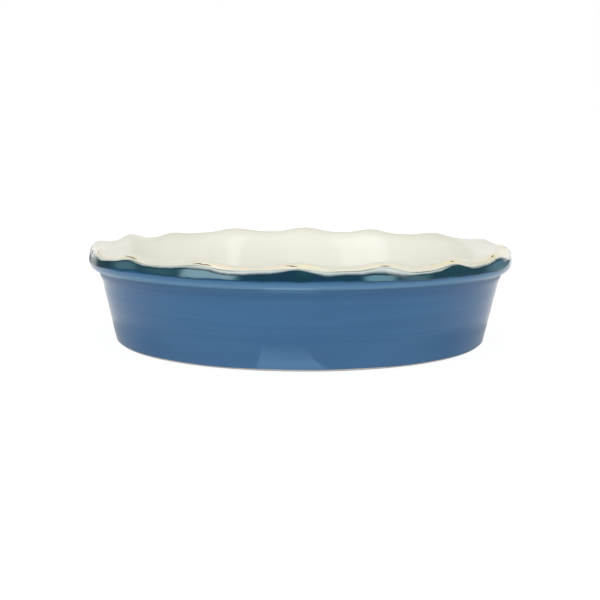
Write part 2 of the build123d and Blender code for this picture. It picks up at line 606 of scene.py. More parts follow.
    def lip(self, degrees: np.ndarray, coat: Grid = 0.0) -> Rings:
        """Rings over the lip, from its widest line at 0, over the ridge at 90, to 180.

        The outer half is a quarter ellipse. The inner half is a quarter ellipse leaned
        to the wall: it leaves the ridge level and runs out along the inner wall.

        Args:
            degrees: Where each ring, or each ring point, lies.
            coat: How far out of the body they lie, in metres.

        Returns:
            The rings.
        """
        s = self.sizes
        up = np.radians(np.minimum(degrees, RIDGE))
        crown_r = self.ridge_r + (s.bead_r + coat) * np.cos(up)
        crown_z = self.widest_z + (s.lip_crown + coat) * np.sin(up)
        over = np.radians(np.maximum(degrees - RIDGE, 0.0))
        end_z = self.crown_z - s.roll_drop
        ridge, end = 1 - np.sin(over), 1 - np.cos(over)
        corner = 1 - ridge - end
        roll_r = self.ridge_r * ridge + self.wall_r(-s.wall_t, self.crown_z) * corner
        roll_r = roll_r + self.wall_r(-s.wall_t, end_z) * end
        roll_z = (self.crown_z + coat) * np.cos(over) + end_z * end
        inner = np.asarray(degrees) > RIDGE
        corner_lift = s.ruffle_rise * math.tan(self.lean) * corner
        return Rings.laid(
            np.where(inner, roll_r, crown_r),
            np.where(inner, roll_z, crown_z),
            np.where(inner, s.ruffle_flare * ridge + corner_lift, s.ruffle_flare * (1 - np.cos(up))),
            s.ruffle_rise * np.where(inner, np.cos(over), np.sin(up)),
            degrees,
        )

    def inner_wall(self, count: int) -> Rings:
        """Rings down the inner wall, between the lip's roll and the floor's corner.

        Args:
            count: How many rings.

        Returns:
            The rings.
        """
        s = self.sizes
        end = self.floor_z + s.corner_r * (1 - math.sin(self.lean))
        heights = down_rows(self.crown_z - s.roll_drop, end, count)
        return Rings.laid(self.wall_r(-s.wall_t, heights), heights, turn=ROLL_END)

    def corner(self, count: int) -> Rings:
        """Rings round the corner between the inner wall and the floor.

        Args:
            count: How many rings.

        Returns:
            The rings.
        """
        s = self.sizes
        z = self.floor_z + s.corner_r
        ways = down_rows(-self.lean, -math.pi / 2, count)
        return Rings.arc(self.wall_r(-s.wall_t - s.corner_r, z), z, s.corner_r, ways, turn=ROLL_END)


def shell(name: str, points: np.ndarray, closing: Closing) -> bpy.types.Mesh:
    """A mesh of closed solids through grids of ring points, smooth but for sharp edges.

    Columns close on themselves. Rows close as closing says. A face runs along its
    ring first and then to the next ring, so it faces out of the solid.

    Args:
        name: The mesh's name.
        points: Solids, rows, columns and x, y, z, or rows first for a single solid.
        closing: Points at both ends, or the last ring to the first.

    Returns:
        The mesh.
    """
    solids = points.reshape(-1, *points.shape[-3:])
    count, rows, columns = solids.shape[:3]
    here = np.arange(columns)
    beside = np.roll(here, -1)
    ring = np.arange(rows if closing is Closing.LOOP else rows - 1)[:, None] * columns
    above = (ring + columns) % (rows * columns)
    quads = np.stack([ring + here, ring + beside, above + beside, above + here], -1)
    first = np.arange(count)[:, None, None, None] * rows * columns
    faces = (quads + first).reshape(-1, 4).tolist()
    vertices = solids.reshape(-1, 3)
    if closing is Closing.POLES:
        vertices = np.concatenate([vertices, solids[:, [0, -1]].mean(2).reshape(-1, 3)])
        pole = count * rows * columns + 2 * np.arange(count)[:, None]
        low = first[:, 0, 0] + here
        top = low + (rows - 1) * columns
        faces += np.stack([pole + 0 * here, low[:, beside], low], -1).reshape(-1, 3).tolist()
        faces += np.stack([top, top[:, beside], pole + 1 + 0 * here], -1).reshape(-1, 3).tolist()
    mesh = bpy.data.meshes.new(name)
    mesh.from_pydata(vertices.tolist(), [], faces)
    mesh.validate()
    mesh.shade_smooth()
    mesh.set_sharp_from_angle(angle=SHARP_FROM)
    mesh.update()
    return mesh


def mark_up(mesh: bpy.types.Mesh, rings: Rings, marks: dict[Mark, np.ndarray]) -> None:
    """Writes the marks on a solid's points, and repeats the first and last for any pole.

    Args:
        mesh: The solid's mesh.
        rings: The rings that it goes through.
        marks: Values for every ring point, or one row of them that holds for all rings.
    """
    poles = len(mesh.vertices) - rings.r.size
    for mark, values in marks.items():
        flat = np.broadcast_to(values, rings.r.shape).ravel()
        whole = np.concatenate([flat, flat[[0, -1]][:poles]]).astype(np.float32)
        mesh.attributes.new(mark.value, "FLOAT", "POINT").data.foreach_set("value", whole)


def object_of(mesh: bpy.types.Mesh) -> bpy.types.Object:
    """Puts a mesh in the scene, at the origin.

    Args:
        mesh: The mesh, with its place in its points.

    Returns:
        Its object.
    """
    piece = bpy.data.objects.new(mesh.name, mesh)
    bpy.context.scene.collection.objects.link(piece)
    return piece


def put_in(piece: bpy.types.Object, slot: Slot | None, *nodes: str) -> None:
    """Rides a piece on the dish, in place of the solids that it stands for.

    Args:
        piece: The piece's object.
        slot: The record's slot for its finish, if it has one. Not used.
        nodes: The solids' names.
    """
    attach(piece, "root")
    if nodes:
        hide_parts(*nodes)
    log.info("%s: %d faces", piece.name, len(piece.data.polygons))


class Bench:
    """Lays and joins the nodes of one tree; a plain value may stand for any wire."""

    def __init__(self, tree: bpy.types.NodeTree) -> None:
        """Starts on a tree, which is emptied first."""
        self.tree = tree
        tree.nodes.clear()

    def join(self, value: Wire, socket: bpy.types.NodeSocket) -> None:
        """Wires a value to a socket, or sets it there if it is plain.

        Args:
            value: Another node's output, or the plain value.
            socket: The input.
        """
        if isinstance(value, bpy.types.NodeSocket):
            self.tree.links.new(value, socket)
        else:
            socket.default_value = value

    def put(self, kind: str, wires: dict | None = None, **settings: object) -> bpy.types.Node:
        """Lays a node.

        Args:
            kind: The node's type, without its ShaderNode prefix.
            wires: Values for its inputs, by name or number.
            settings: Values for its own properties.

        Returns:
            The node.
        """
        node = self.tree.nodes.new("ShaderNode" + kind)
        for name, value in settings.items():
            setattr(node, name, value)
        for key, value in (wires or {}).items():
            self.join(value, node.inputs[key])
        return node

    def sum(self, operation: str, *values: Wire) -> bpy.types.NodeSocket:
        """The result of a Math node on the values."""
        return self.put("Math", dict(enumerate(values)), operation=operation).outputs[0]

    def plus(self, first: Wire, second: Wire) -> bpy.types.NodeSocket:
        """The two added."""
        return self.sum("ADD", first, second)

    def less(self, first: Wire, second: Wire) -> bpy.types.NodeSocket:
        """The first less the second."""
        return self.sum("SUBTRACT", first, second)

    def times(self, first: Wire, second: Wire) -> bpy.types.NodeSocket:
        """The two multiplied."""
        return self.sum("MULTIPLY", first, second)

    def scaled(self, value: Wire, by: Wire, more: Wire) -> bpy.types.NodeSocket:
        """The value times by, and more added to that."""
        return self.sum("MULTIPLY_ADD", value, by, more)

    def larger(self, first: Wire, second: Wire) -> bpy.types.NodeSocket:
        """The larger of the two."""
        return self.sum("MAXIMUM", first, second)

    def vary(
        self, value: Wire, start: Wire, end: Wire, low: Wire = 0.0, high: Wire = 1.0
    ) -> bpy.types.NodeSocket:
        """A smooth step of value from low at start to high at end."""
        wires = {"Value": value, "From Min": start, "From Max": end, "To Min": low, "To Max": high}
        return self.put("MapRange", wires, interpolation_type="SMOOTHSTEP").outputs["Result"]

    def choose(self, share: Wire, first: Wire, second: Wire) -> bpy.types.NodeSocket:
        """The first value gone over to the second by share."""
        return self.put("Mix", {0: share, 2: first, 3: second}, data_type="FLOAT").outputs[0]

    def blend(self, share: Wire, first: Wire, second: Wire, how: str = "MIX") -> bpy.types.NodeSocket:
        """The first colour gone over to the second by share."""
        wires = {0: share, 6: first, 7: second}
        return self.put("Mix", wires, data_type="RGBA", blend_type=how).outputs[2]

    def read(self, mark: Mark) -> bpy.types.NodeSocket:
        """A mark of the mesh."""
        return self.put("Attribute", attribute_name=mark.value).outputs["Fac"]

    def place(self) -> bpy.types.NodeSocket:
        """The place on the piece, in metres from the dish's own origin."""
        return self.put("TexCoord").outputs["Object"]

    def split(self, place: Wire) -> bpy.types.NodeOutputs:
        """The X, Y and Z of a place."""
        return self.put("SeparateXYZ", {0: place}).outputs

    def stretch(self, place: Wire, by: tuple[float, float, float]) -> bpy.types.NodeSocket:
        """The place with each of its parts times its own number."""
        return self.put("VectorMath", {0: place, 1: by}, operation="MULTIPLY").outputs[0]

    def cloud(
        self, place: Wire, scale: Wire, detail: float = 2.0, rough: float = 0.5, bend: float = 0.0
    ) -> bpy.types.NodeSocket:
        """Soft noise, from about 0.3 to 0.7.

        Args:
            place: Where it is read.
            scale: Blotches a metre.
            detail: How many finer noises lie on the first.
            rough: How strong those are.
            bend: How far the blotches are bent.

        Returns:
            The noise.
        """
        wires = {
            "Vector": place, "Scale": scale, "Detail": detail, "Roughness": rough,
            "Distortion": bend,
        }
        return self.put("TexNoise", wires, noise_dimensions="3D").outputs["Fac"]

    def wander(self, place: Wire, scale: Wire, detail: float, rough: float) -> bpy.types.NodeSocket:
        """The same noise, to either side of 0."""
        return self.less(self.cloud(place, scale, detail, rough), 0.5)

    def seen(self) -> tuple[bpy.types.NodeSocket, bpy.types.NodeSocket]:
        """1 for what the camera sees straight, and 1 for what it sees mirrored or through."""
        path = self.put("LightPath").outputs
        return path["Is Camera Ray"], self.larger(path["Is Glossy Ray"], path["Is Transmission Ray"])

    def glaze(self, colour: Wire, sheen: Wire, height: Wire) -> None:
        """Ends a finish with the glaze's shader.

        Args:
            colour: The glaze's colour.
            sheen: Its roughness.
            height: How high its skin stands, in metres.
        """
        bump = self.put("Bump", {"Strength": 1.0, "Distance": 1.0, "Height": height})
        shader = self.put("BsdfPrincipled", {
            "Base Color": colour, "Roughness": sheen, "IOR": GLAZE_IOR, "Normal": bump.outputs[0],
        })
        self.join(shader.outputs[0], self.put("OutputMaterial").inputs["Surface"])


def new_finish(name: str) -> tuple[bpy.types.Material, Bench]:
    """Starts a finish.

    Args:
        name: The material's name.

    Returns:
        The new material, and the bench for its tree.
    """
    made = bpy.data.materials.new(name)
    made.use_nodes = True
    return made, Bench(made.node_tree)


@dataclass
class Effects:
    """The effects that several finishes share, each a node group built once."""

    made: dict[str, bpy.types.NodeTree] = field(default_factory=dict)

    def group(
        self, name: str, inputs: dict[Kind, tuple[str, ...]], outputs: dict[Kind, tuple[str, ...]]
    ) -> tuple[Bench, bpy.types.NodeOutputs, bpy.types.NodeInputs]:
        """Starts the node group of a shared effect.

        Args:
            name: The group's name.
            inputs: The names of its inputs, by kind.
            outputs: The names of its outputs, by kind.

        Returns:
            Its bench, what its inputs give, and what its outputs take.
        """
        tree = bpy.data.node_groups.new(name, "ShaderNodeTree")
        for side, kinds in (("INPUT", inputs), ("OUTPUT", outputs)):
            for kind, labels in kinds.items():
                for label in labels:
                    tree.interface.new_socket(name=label, in_out=side, socket_type=kind.value)
        self.made[name] = tree
        bench = Bench(tree)
        given = tree.nodes.new("NodeGroupInput").outputs
        return bench, given, tree.nodes.new("NodeGroupOutput").inputs

    def use(
        self, bench: Bench, effect: Callable[[], None], wires: dict[str, Wire]
    ) -> dict[str, bpy.types.NodeSocket]:
        """Places a shared effect in a finish, and builds it first if it is new.

        Args:
            bench: The finish's bench.
            effect: The effect's method here.
            wires: Values for its named inputs.

        Returns:
            Its named outputs.
        """
        name = effect.__name__
        if name not in self.made:
            effect()
        node = bench.put("Group", wires, node_tree=self.made[name])
        return {socket.name: socket for socket in node.outputs}

    def brushed_edge(self) -> None:
        """A painted border: 1 inside, 0 outside, and ragged by noise along it."""
        b, given, out = self.group(
            "brushed_edge",
            {Kind.VECTOR: ("Place",), Kind.VALUE: ("Gap", "Soft", "Ragged", "Scale")},
            {Kind.VALUE: ("Mask",)},
        )
        wander = b.times(b.wander(given["Place"], given["Scale"], 3.0, 0.6), given["Ragged"])
        low = b.times(given["Soft"], -1.0)
        b.join(b.vary(b.plus(given["Gap"], wander), low, given["Soft"]), out["Mask"])

    def kiln_cloud(self) -> None:
        """Broad soft clouds in a glaze, where it runs thicker or thinner."""
        cloud_span: Span = (0.32, 0.68)
        b, given, out = self.group(
            "kiln_cloud",
            {Kind.VECTOR: ("Place",), Kind.COLOUR: ("Base", "Cloud"), Kind.VALUE: ("Scale", "Amount")},
            {Kind.COLOUR: ("Colour",)},
        )
        noise = b.cloud(given["Place"], given["Scale"], 3.0, 0.55, 0.4)
        share = b.times(b.vary(noise, *cloud_span), given["Amount"])
        b.join(b.blend(share, given["Base"], given["Cloud"]), out["Colour"])

    def brush_streaks(self) -> None:
        """Level streaks that a wide brush leaves as the dish turns on the wheel.

        Both are noises with many more blotches a metre upwards than along.
        """
        wide_scale, wide_span, wide_share = (5.0, 5.0, 150.0), (0.35, 0.7), 0.7
        thin_scale, thin_span, thin_share = (9.0, 9.0, 620.0), (0.45, 0.75), 0.45
        b, given, out = self.group(
            "brush_streaks",
            {Kind.VECTOR: ("Place",), Kind.COLOUR: ("Base", "Streak"), Kind.VALUE: ("Amount",)},
            {Kind.COLOUR: ("Colour",)},
        )
        place = given["Place"]
        wide = b.vary(b.cloud(b.stretch(place, wide_scale), 1.0, 3.0, 0.6, 0.5), *wide_span)
        thin = b.vary(b.cloud(b.stretch(place, thin_scale), 1.0, 2.0, 0.6), *thin_span)
        both = b.scaled(thin, thin_share, b.times(wide, wide_share))
        share = b.times(both, given["Amount"])
        b.join(b.blend(share, given["Base"], given["Streak"]), out["Colour"])

    def glaze_skin(self) -> None:
        """The skin of a fired glaze: slow ripples, fine dimples, and their gloss."""
        ripples: Noise = (55.0, 1.0, 0.5)
        dimples: Noise = (420.0, 2.0, 0.5)
        smears: Noise = (38.0, 3.0, 0.6)
        smear_span, smear_gloss = (0.3, 0.75), (0.8, 1.45)
        b, given, out = self.group(
            "glaze_skin",
            {Kind.VECTOR: ("Place",), Kind.VALUE: ("Gloss", "Ripple", "Dimple")},
            {Kind.VALUE: ("Height", "Roughness")},
        )
        place = given["Place"]
        ripple = b.times(b.cloud(place, *ripples), given["Ripple"])
        dimple = b.times(b.cloud(place, *dimples), given["Dimple"])
        b.join(b.plus(ripple, dimple), out["Height"])
        smear = b.vary(b.cloud(place, *smears), *smear_span, *smear_gloss)
        b.join(b.times(smear, given["Gloss"]), out["Roughness"])

    def rim_paint(self) -> None:
        """The blue wall colour going over to the dark rim, which thins out to cream.

        It reads the rise over the lower border and the gap below the cream border,
        so that it meets itself across two pieces. Rises are in degrees round the lip
        and gaps in millimetres on it.
        """
        drag = (1.0, 1.0, 3.0)
        rise_wander, gap_wander = 26.0, 1.6
        dark_rise: Span = (-8.0, 8.0)
        navy_clouds, navy_span = (45.0,), (0.3, 0.55)
        green_clouds, green_span, green_most = (85.0, 3.0, 0.6), (0.42, 0.7), 0.4
        green_gap: Span = (4.2, 1.2)
        worn_gap, worn_rise = (0.15, 0.55), (2.0, 10.0)
        thin_full, thin_most = 0.35, 0.92
        line_outside, line_inside = (0.95, 0.55), (-0.1, 0.25)
        breaks, break_span, line_strength = (38.0, 2.0), (0.4, 0.56), (0.1, 0.7)
        b, given, out = self.group(
            "rim_paint",
            {
                Kind.VECTOR: ("Place",),
                Kind.VALUE: ("Dark Rise", "Cream Gap", "Band", "Navy", "Worn"),
                Kind.COLOUR: ("Blue", "Teal", "Navy Tint", "Green", "Worn Tint", "Thin", "Line"),
            },
            {Kind.COLOUR: ("Colour",)},
        )
        place, gap, band, wear_and_sheen = (given[name] for name in ("Place", "Cream Gap", "Band", "Worn"))
        wander = b.wander(b.stretch(place, drag), 60.0, 3.0, 0.6)
        rise = b.scaled(wander, rise_wander, given["Dark Rise"])
        loose = b.scaled(wander, gap_wander, gap)
        navy = b.times(given["Navy"], b.vary(b.cloud(place, *navy_clouds), *navy_span))
        rim = b.blend(navy, given["Teal"], given["Navy Tint"])
        green = b.vary(b.cloud(place, *green_clouds), *green_span, 0.0, green_most)
        rim = b.blend(b.times(green, b.vary(gap, *green_gap)), rim, given["Green"])
        # worn patches: thinned glaze, partly a painted highlight on the dark rim
        clear = b.times(b.vary(b.less(loose, band), *worn_gap), b.vary(rise, *worn_rise))
        rim = b.blend(b.times(wear_and_sheen, clear), rim, given["Worn Tint"])
        rim = b.blend(b.times(wear_and_sheen, -1.0), rim, given["Thin"])
        thin = b.vary(loose, band, b.times(band, thin_full))
        rim = b.blend(b.times(thin, thin_most), rim, given["Thin"])
        line = b.times(b.vary(loose, *line_outside), b.vary(loose, *line_inside))
        broken = b.vary(b.cloud(place, *breaks), *break_span, *line_strength)
        rim = b.blend(b.times(line, broken), rim, given["Line"])
        b.join(b.blend(b.vary(rise, *dark_rise), given["Blue"], rim), out["Colour"])

    def skinned(
        self, b: Bench, place: Wire, colour: Wire, gloss: float, ripple: float, dimple: float, dull: Wire
    ) -> None:
        """Ends a finish with the shared glaze skin and the glaze's shader.

        Args:
            b: The finish's bench.
            place: The place on the piece.
            colour: The finished colour.
            gloss: The glaze's roughness.
            ripple: Height of the slow ripples, in metres.
            dimple: Height of the fine dimples, in metres.
            dull: 1 where the surface is as dull as clay.
        """
        clay_dull = 0.7
        skin = self.use(b, self.glaze_skin, {
            "Place": place, "Gloss": gloss, "Ripple": ripple, "Dimple": dimple,
        })
        b.glaze(colour, b.scaled(dull, clay_dull, skin["Roughness"]), skin["Height"])


@dataclass(frozen=True)
class RimTints:
    """The colours of the brushed rim, shared by both coats."""

    blue: Tint = tint("285a84")
    blue_streak: Tint = tint("346a92")
    blue_cloud: Tint = tint("21517c")
    # partly pooled glaze, partly painted shade in the hollow under the lip
    blue_pool: Tint = tint("24557f")
    # partly thin glaze, partly a painted highlight on the bead, and painted light at the foot
    blue_thin: Tint = tint("5283a5")
    teal: Tint = tint("0f3843")
    navy: Tint = tint("12324b")
    green: Tint = tint("2a5450")
    # pale grey-blue of brushed-thin glaze, also a painted highlight on the dark rim
    worn: Tint = tint("5f8795")
    thin: Tint = tint("c8d2ce")
    line: Tint = tint("50625a")


@dataclass(frozen=True)
class CoatFinish:
    """A glossy brushed coat, blue below the rim's border and dark above it."""

    name: str
    effects: Effects
    tints: RimTints = field(default_factory=RimTints)
    cloud_scale: float = 16.0
    cloud_amount: float = 0.45
    streak_amount: float = 0.4
    thin_highlight_amount: float = 0.85
    gloss: float = 0.085
    pool_blur: float = 0.4
    ripple: float = 0.00005
    dimple: float = 0.000004

    def material(self) -> bpy.types.Material:
        """Mixes the blue from clouds, streaks and pools, with painted shade in the pools and
        painted light where it runs thin, and paints the rim over it.

        Returns:
            The coat's material.
        """
        t, fx = self.tints, self.effects
        made, b = new_finish(self.name)
        place = b.place()
        blue = fx.use(b, fx.kiln_cloud, {
            "Place": place, "Base": t.blue, "Cloud": t.blue_cloud, "Scale": self.cloud_scale,
            "Amount": self.cloud_amount,
        })["Colour"]
        blue = fx.use(b, fx.brush_streaks, {
            "Place": place, "Base": blue, "Streak": t.blue_streak, "Amount": self.streak_amount,
        })["Colour"]
        pool = b.read(Mark.POOL)
        # painted shade in the pools under the lip, a painted highlight on the bead and painted light at
        # the foot
        blue = b.blend(b.vary(pool, 0.0, 1.0), blue, t.blue_pool)
        blue = b.blend(b.vary(pool, 0.0, -1.0, 0.0, self.thin_highlight_amount), blue, t.blue_thin)
        colour = fx.use(b, fx.rim_paint, {
            "Place": place, "Dark Rise": b.read(Mark.DARK_RISE), "Cream Gap": b.read(Mark.CREAM_GAP),
            "Band": b.read(Mark.BAND), "Navy": b.read(Mark.NAVY), "Worn": b.read(Mark.WORN),
            "Blue": blue, "Teal": t.teal, "Navy Tint": t.navy, "Green": t.green,
            "Worn Tint": t.worn, "Thin": t.thin, "Line": t.line,
        })["Colour"]
        dull = b.times(b.read(Mark.DULL), self.pool_blur)
        fx.skinned(b, place, colour, self.gloss, self.ripple, self.dimple, dull)
        return made


@dataclass(frozen=True)
class BodyFinish:
    """Cream glaze with honey touches and painted shade at the lip, and bare clay at the foot.

    An edge is its softness, its raggedness and its blotches a metre.
    """

    effects: Effects
    cream: Tint = tint("f1f0e6")
    cloud: Tint = tint("e9e8db")
    # painted shade: the lip's top is darker, so that under the lamps it looks no brighter than the inner
    # wall
    lip: Tint = tint("dddbcb")
    honey: Tint = tint("ece0ac")
    peach: Tint = tint("f1d9bc")
    green: Tint = tint("c9d0c2")
    clay: Tint = tint("cccdca")
    speck: Tint = tint("a98f68")
    cloud_scale: float = 20.0
    cloud_amount: float = 0.5
    spots: Noise = (330.0, 2.0, 0.7)
    spot_span: Span = (0.72, 0.8)
    spot_most: float = 0.35
    lip_shade_gap: Span = (-13.0, -3.0)
    smears: Noise = (75.0, 3.0, 0.65, 0.6)
    smear_span: Span = (0.36, 0.62)
    smear_least: float = 0.3
    smear_more: float = 0.7
    bleed_edge: tuple[float, float, float] = (0.5, 1.6, 110.0)
    bleed_most: float = 0.75
    grit: Noise = (900.0, 3.0, 0.7)
    grit_span: Span = (0.35, 0.7)
    grit_most: float = 0.12
    bare_edge: tuple[float, float, float] = (0.12, 0.7, 120.0)
    gloss: float = 0.09
    ripple: float = 0.00004
    dimple: float = 0.000004

    def edge(self, b: Bench, place: Wire, gap: Wire, edge: tuple[float, ...]) -> bpy.types.NodeSocket:
        """1 within a brushed edge and 0 past it."""
        wires = {"Place": place, "Gap": gap, **dict(zip(("Soft", "Ragged", "Scale"), edge))}
        return self.effects.use(b, self.effects.brushed_edge, wires)["Mask"]

    def material(self) -> bpy.types.Material:
        """Lays spots, the lip's painted shade, touches and the rim's bleeding edge on the
        cream, then bare clay.

        Returns:
            The body's material.
        """
        fx = self.effects
        made, b = new_finish("cream_glaze")
        place = b.place()
        colour = fx.use(b, fx.kiln_cloud, {
            "Place": place, "Base": self.cream, "Cloud": self.cloud, "Scale": self.cloud_scale,
            "Amount": self.cloud_amount,
        })["Colour"]
        spots = b.vary(b.cloud(place, *self.spots), *self.spot_span, 0.0, self.spot_most)
        colour = b.blend(spots, colour, self.speck)
        gap = b.read(Mark.CREAM_GAP)
        # painted shade on the lip's top
        colour = b.blend(b.vary(gap, *self.lip_shade_gap), colour, self.lip)
        smears = b.vary(b.cloud(place, *self.smears), *self.smear_span)
        smears = b.scaled(smears, self.smear_more, self.smear_least)
        colour = b.blend(b.times(b.read(Mark.PEACH), smears), colour, self.peach)
        colour = b.blend(b.times(b.read(Mark.HONEY), smears), colour, self.honey)
        bleed = self.edge(b, place, gap, self.bleed_edge)
        colour = b.blend(b.times(bleed, self.bleed_most), colour, self.green)
        grit = b.blend(b.vary(b.cloud(place, *self.grit), *self.grit_span), self.clay, self.speck)
        clay = b.blend(self.grit_most, self.clay, grit)
        bare = self.edge(b, place, b.less(b.read(Mark.BARE), 0.5), self.bare_edge)
        colour = b.blend(bare, colour, clay)
        fx.skinned(b, place, colour, self.gloss, self.ripple, self.dimple, bare)
        return made


@dataclass
class FiredBody:
    """The fired clay with its cream glaze: foot, floor, wall and rolled lip.

    Each stretch of the profile has its own count of rings.
    """

    form: DishForm
    finish: BodyFinish
    under_rows: int = 16
    slope_rows: int = 10
    ring_rows: int = 6
    edge_rows: int = 9
    hidden_rows: int = 3
    wall_rows: int = 9
    neck_rows: int = 6
    bead_rows: int = 8
    lip_rows: int = 63
    inner_rows: int = 18
    corner_rows: int = 16
    floor_rows: int = 18
    middle_share: float = 0.004    # of a disc's area that lies within its smallest ring
    bare_overlaps: Span = (0.25, 0.3)    # radians past the blue's start, bare and then glazed
    far_gap: float = -5.0    # stands for any gap well away from the cream border

    def rings(self) -> Rings:
        """The whole profile, stretch by stretch.

        Across the underside and the floor, neighbouring rings have equal areas between.

        Returns:
            Rings from the underside's centre round to the middle of the floor.
        """
        form, s, down = self.form, self.form.sizes, -math.pi / 2
        blue_edge = down + math.radians(s.blue_starts)
        bare_end, glazed_start = (blue_edge + past for past in self.bare_overlaps)
        stand = form.wall_r(-s.foot_edge_r, s.foot_edge_r)
        inner = stand - s.foot_ring_w
        recess = inner - s.recess_run
        under = recess * np.sqrt(down_rows(self.middle_share, 1.0, self.under_rows))
        share = down_rows(0.0, 1.0, self.slope_rows)[1:]
        slope = Rings.laid(
            recess + s.recess_run * share, s.recess_h * (1 - ease(share)), bare=ease(share * 3 - 1)
        )
        ring = Rings.laid(down_rows(inner, stand, self.ring_rows)[1:-1], 0.0, bare=1.0)
        edge = form.foot_edge(down_rows(down, bare_end, self.edge_rows), bare=1.0)
        hidden = form.foot_edge(down_rows(glazed_start, -form.lean, self.hidden_rows))
        heights = down_rows(float(hidden.z[-1, 0]), form.wall_top(), self.wall_rows)[1:]
        lip = form.lip(down_rows(0.0, ROLL_END, self.lip_rows)[1:])
        inside = joined(
            form.inner_wall(self.inner_rows).after_first(), form.corner(self.corner_rows).after_first()
        )
        middle = down_rows(1.0, self.middle_share, self.floor_rows)[1:]
        floor = Rings.laid(float(inside.r[-1, 0]) * np.sqrt(middle), form.floor_z, turn=ROLL_END)
        return joined(
            Rings.laid(under, s.recess_h), slope, ring, edge, hidden, form.wall(heights),
            form.neck(self.neck_rows).after_first(), form.bead(self.bead_rows).after_first(),
            lip, inside, floor,
        )

    def build(self) -> None:
        """Puts in the body's piece, marked and dressed."""
        form, rings = self.form, self.rings()
        mesh = shell("fired_body", form.points(rings, AROUND), Closing.POLES)
        gap = (form.cream_border(AROUND) - rings.turn) * MM_A_DEGREE
        honey, peach = (
            np.clip(sum(patch.mask(AROUND, rings.turn) for patch in patches), 0, 1)
            for patches in (form.hand.honey, form.hand.peach)
        )
        mark_up(mesh, rings, {
            Mark.CREAM_GAP: np.where(rings.turn < -RIDGE, self.far_gap, gap),
            Mark.BARE: rings.bare,
            Mark.HONEY: honey,
            Mark.PEACH: peach,
        })
        mesh.materials.append(self.finish.material())
        put_in(object_of(mesh), Slot.CREAM, "dish_body")


@dataclass
class Coat:
    """What both coats share: a closed skin that lies on the body and tapers out."""

    form: DishForm
    finish: CoatFinish
    sunk: float = 0.0002
    pool_depth: float = 0.0005
    pool_below: float = 0.0095
    # centre of the thin glaze's painted highlight, below the lip's widest line
    thin_highlight_below: float = 0.0047
    dull_below: float = 0.0076
    band_spread: float = 0.0028
    # painted light: how far the blue turns paler at the foot
    foot_thin: float = 0.2
    foot_spread: float = 0.012

    def thickness(self, taper: np.ndarray) -> np.ndarray:
        """Height over the body: full, and easing down into it as taper goes to 0."""
        return self.form.sizes.glaze_t * ease(taper) - self.sunk * (1 - ease(taper))

    def bell(self, z: np.ndarray, below: float) -> np.ndarray:
        """A bell curve of the height z, highest this far below the lip's widest line."""
        return np.exp(-((self.form.widest_z - z - below) / self.band_spread) ** 2)

    def pooling_and_painted_light(self, z: np.ndarray) -> np.ndarray:
        """1 in the neck's hollow, where glaze pools and shade is painted, and -1 on the bead,
        where it thins and a highlight is painted.

        Each is a bell curve of the height. A third one, painted light, makes the blue
        paler a little at the foot.
        """
        foot = self.foot_thin * np.exp(-(z / self.foot_spread) ** 2)
        return self.bell(z, self.pool_below) - self.bell(z, self.thin_highlight_below) - foot

    def put_on(self, name: str, rings: Rings, slot: Slot, node: str) -> None:
        """Puts in the piece that stands for one coat, marked and dressed.

        Args:
            name: The piece's name.
            rings: The rings of its closed skin.
            slot: The record's slot for its finish.
            node: The solid that it stands for.
        """
        form, hand = self.form, self.form.hand
        mesh = shell(name, form.points(rings, AROUND), Closing.LOOP)
        mark_up(mesh, rings, {
            Mark.DARK_RISE: rings.turn - form.dark_start(AROUND),
            Mark.CREAM_GAP: (form.cream_border(AROUND) - rings.turn) * MM_A_DEGREE,
            Mark.BAND: form.thin_band(AROUND) / MM,
            Mark.POOL: self.pooling_and_painted_light(rings.z),
            Mark.DULL: self.bell(rings.z, self.dull_below),
            Mark.WORN: sum(patch.mask(AROUND, rings.turn) for patch in hand.worn),
            Mark.NAVY: np.clip(form.ruffle_values(hand.navy, AROUND), 0, 1),
        })
        mesh.materials.append(self.finish.material())
        put_in(object_of(mesh), slot, node)


@dataclass
class BlueCoat(Coat):
    """The blue coat, from the bare foot up to the lip's widest line.

    The lobes of its wandering start are counted to two ruffles' turn.
    """

    start_waves: Waves = ((0.05, 5 / 8, 0.0), (0.04, 13 / 8, 1.0))
    taper: float = 0.5
    edge_rows: int = 10
    wall_rows: int = 30
    neck_rows: int = 16
    bead_rows: int = 24
    under_step: int = 3
    under_rows: tuple[int, int, int] = (6, 5, 7)    # up the wall, the neck and the bead

    def build(self) -> None:
        """Puts in the blue coat's piece."""
        form = self.form
        wander = lobes(self.start_waves, np.pi * AROUND, np.sin)
        start = -math.pi / 2 + math.radians(form.sizes.blue_starts) + wander
        ways = start + (-form.lean - start) * down_rows(0.0, 1.0, self.edge_rows)
        edge = form.foot_edge(ways, self.thickness((ways - start) / self.taper))
        full, low = form.sizes.glaze_t, edge.z[-1:, :]
        heights = low + (form.wall_top(full) - low) * down_rows(0, 1, self.wall_rows)[1:]
        outer = joined(
            edge, form.wall(heights, full), form.neck(self.neck_rows, full).after_first(),
            form.bead(self.bead_rows, full).after_first(),
        )
        outer = replace(outer, r=outer.r + self.pool_depth * np.clip(self.pooling_and_painted_light(outer.z), 0, 1))
        wall_rows, neck_rows, bead_rows = self.under_rows
        under = form.foot_edge(ways[::self.under_step], -self.sunk)
        behind = down_rows(float(under.z[-1, 0]), form.wall_top(), wall_rows)[1:]
        inner = joined(
            under.after_first(), form.wall(behind, -self.sunk),
            form.neck(neck_rows, -self.sunk).after_first(),
            form.bead(bead_rows, -self.sunk).after_first(),
        )
        rings = joined(outer, inner.turned_over())
        self.put_on("blue_coat", rings, Slot.BLUE, "blue_outside_glaze")


